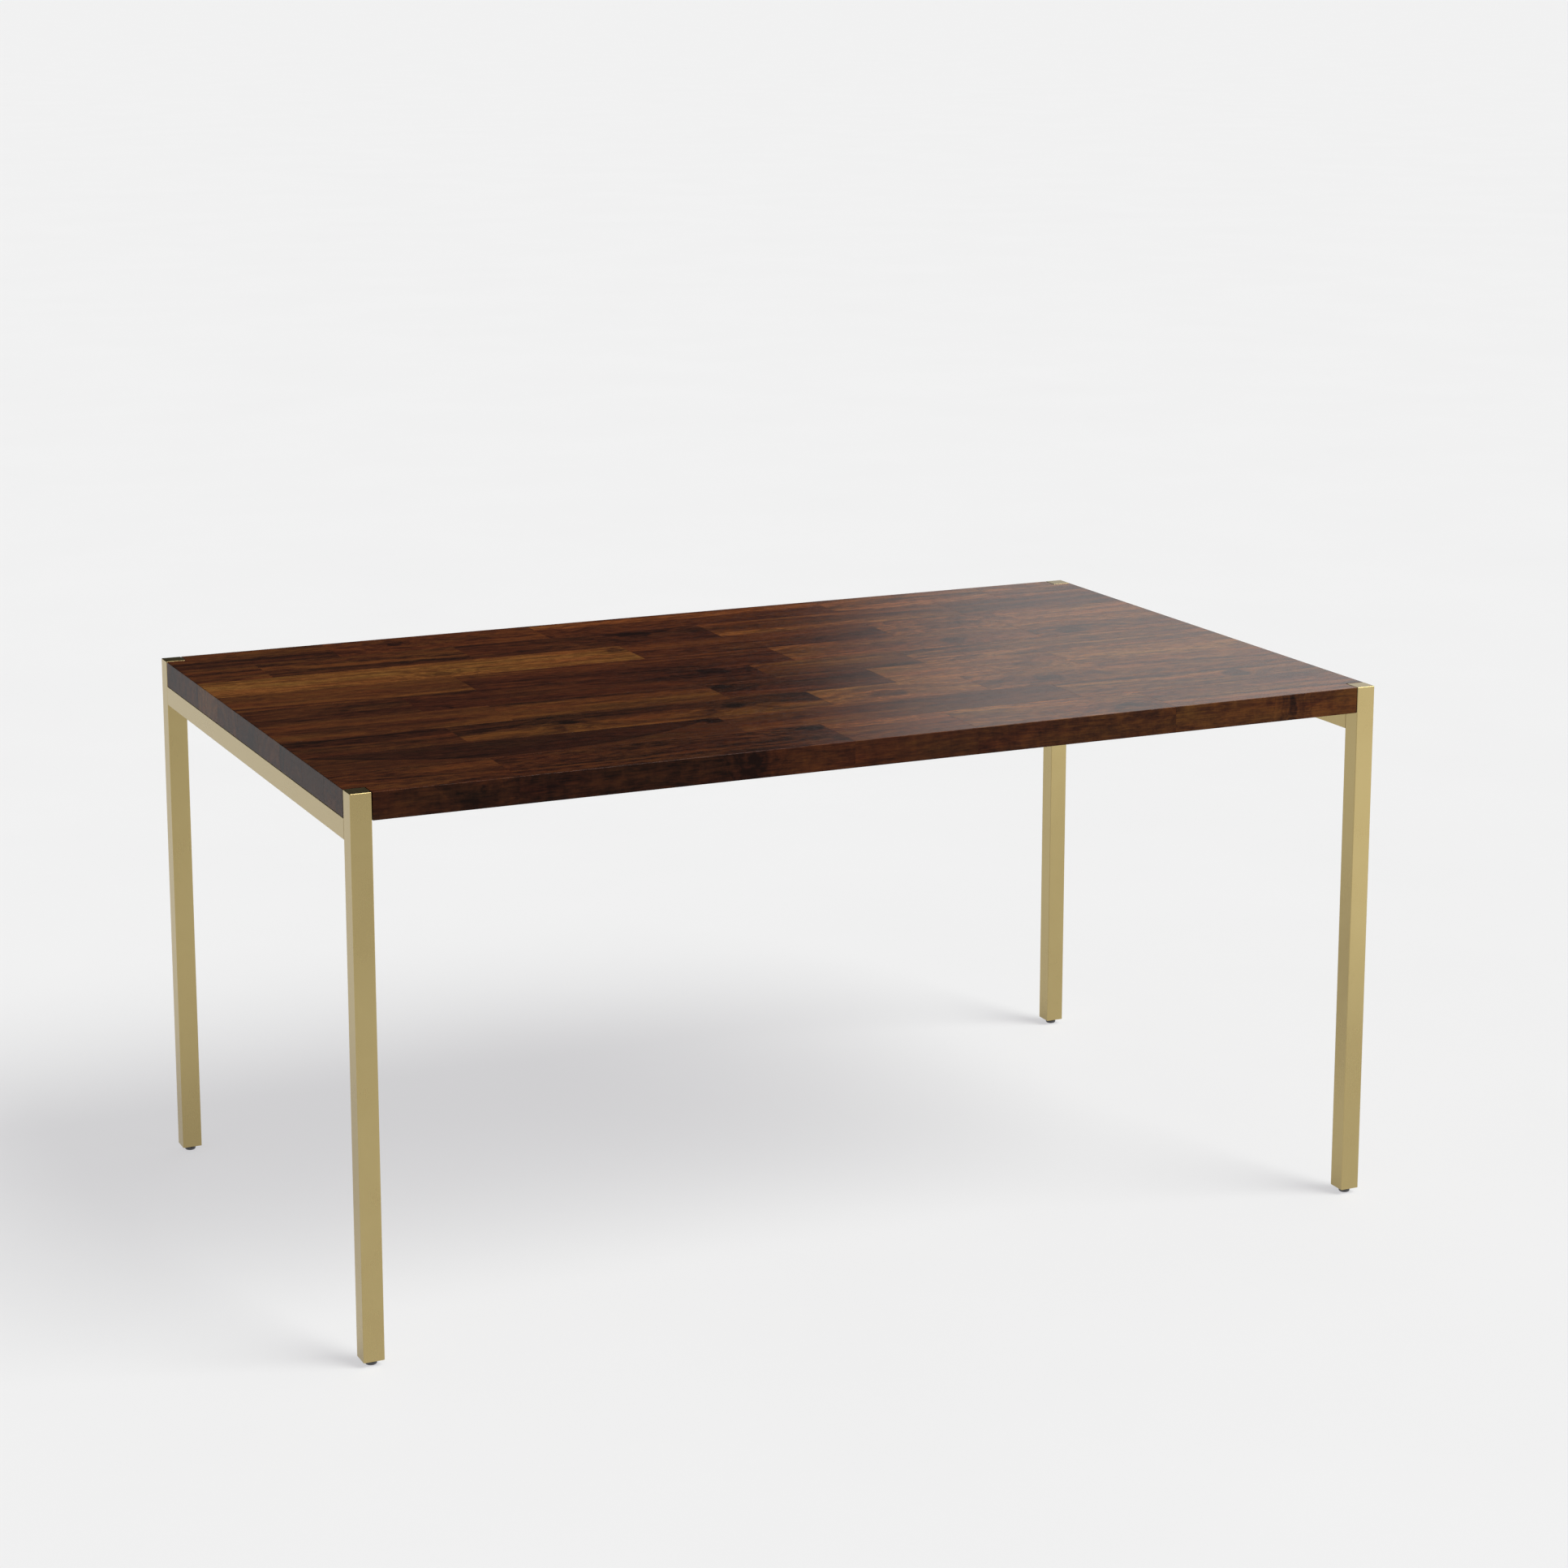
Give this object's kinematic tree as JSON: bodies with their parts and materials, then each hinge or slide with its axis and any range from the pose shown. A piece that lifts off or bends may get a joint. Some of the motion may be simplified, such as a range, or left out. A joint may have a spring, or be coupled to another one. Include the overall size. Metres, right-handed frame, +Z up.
{
  "type": "butcher block table",
  "caption": "Rectangular dining table: solid butcher block of glued staves on square metal legs that rise through its corner notches, with end rails and levelling glides.",
  "frame": {"origin": "on the floor, under the middle of the table top", "axes": "+X along the table's length, +Y to its back, +Z up"},
  "size_m": [1.524, 0.9144, 0.762],
  "materials": {
    "oiled_hardwood": "dark oiled hardwood, satin",
    "brass_finish": "satin brushed",
    "plug_plastic": "moulded, matte",
    "pad_nylon": "moulded nylon, matte",
    "zinc_steel": "zinc plated",
    "black_steel": "black oxide",
    "insert_brass": "turned"
  },
  "bodies": {
    "table": {"stave_row_1": "oiled_hardwood", "stave_row_2": "oiled_hardwood", "stave_row_3": "oiled_hardwood", "stave_row_4": "oiled_hardwood", "stave_row_5": "oiled_hardwood", "stave_row_6": "oiled_hardwood", "stave_row_7": "oiled_hardwood", "stave_row_8": "oiled_hardwood", "stave_row_9": "oiled_hardwood", "leg_front_left": "brass_finish", "leg_front_right": "brass_finish", "leg_back_left": "brass_finish", "leg_back_right": "brass_finish", "cap_front_left": "brass_finish", "cap_front_right": "brass_finish", "cap_back_left": "brass_finish", "cap_back_right": "brass_finish", "rail_left": "brass_finish", "rail_right": "brass_finish", "plug_front_left": "plug_plastic", "plug_front_right": "plug_plastic", "plug_back_left": "plug_plastic", "plug_back_right": "plug_plastic", "plug_nuts": "zinc_steel", "block_inserts": "insert_brass", "rail_washers": "zinc_steel", "rail_screws": "black_steel"},
    "pad_front_left": {"glide_pad_front_left": "pad_nylon"},
    "stud_front_left": {"glide_stud_front_left": "zinc_steel"},
    "pad_front_right": {"glide_pad_front_right": "pad_nylon"},
    "stud_front_right": {"glide_stud_front_right": "zinc_steel"},
    "pad_back_left": {"glide_pad_back_left": "pad_nylon"},
    "stud_back_left": {"glide_stud_back_left": "zinc_steel"},
    "pad_back_right": {"glide_pad_back_right": "pad_nylon"},
    "stud_back_right": {"glide_stud_back_right": "zinc_steel"}
  },
  "joints": [
    {"name": "glide_height_front_left", "type": "slide", "parent": "table", "child": "pad_front_left", "axis": [0, 0, -1], "range_m": [0, 0.01]},
    {"name": "stud_turn_front_left", "type": "hinge", "parent": "pad_front_left", "child": "stud_front_left", "pos_m": [-0.7477, -0.4429, 0.0077], "axis": [0, 0, -1], "range_deg": [0, 2880]},
    {"name": "glide_height_front_right", "type": "slide", "parent": "table", "child": "pad_front_right", "axis": [0, 0, -1], "range_m": [0, 0.01]},
    {"name": "stud_turn_front_right", "type": "hinge", "parent": "pad_front_right", "child": "stud_front_right", "pos_m": [0.7477, -0.4429, 0.0077], "axis": [0, 0, -1], "range_deg": [0, 2880]},
    {"name": "glide_height_back_left", "type": "slide", "parent": "table", "child": "pad_back_left", "axis": [0, 0, -1], "range_m": [0, 0.01]},
    {"name": "stud_turn_back_left", "type": "hinge", "parent": "pad_back_left", "child": "stud_back_left", "pos_m": [-0.7477, 0.4429, 0.0077], "axis": [0, 0, -1], "range_deg": [0, 2880]},
    {"name": "glide_height_back_right", "type": "slide", "parent": "table", "child": "pad_back_right", "axis": [0, 0, -1], "range_m": [0, 0.01]},
    {"name": "stud_turn_back_right", "type": "hinge", "parent": "pad_back_right", "child": "stud_back_right", "pos_m": [0.7477, 0.4429, 0.0077], "axis": [0, 0, -1], "range_deg": [0, 2880]}
  ],
  "couplings": [
    {"joint": "glide_height_front_left", "follows": "stud_turn_front_left", "m_per_rad": 0.00019894},
    {"joint": "glide_height_front_right", "follows": "stud_turn_front_right", "m_per_rad": 0.00019894},
    {"joint": "glide_height_back_left", "follows": "stud_turn_back_left", "m_per_rad": 0.00019894},
    {"joint": "glide_height_back_right", "follows": "stud_turn_back_right", "m_per_rad": 0.00019894}
  ]
}
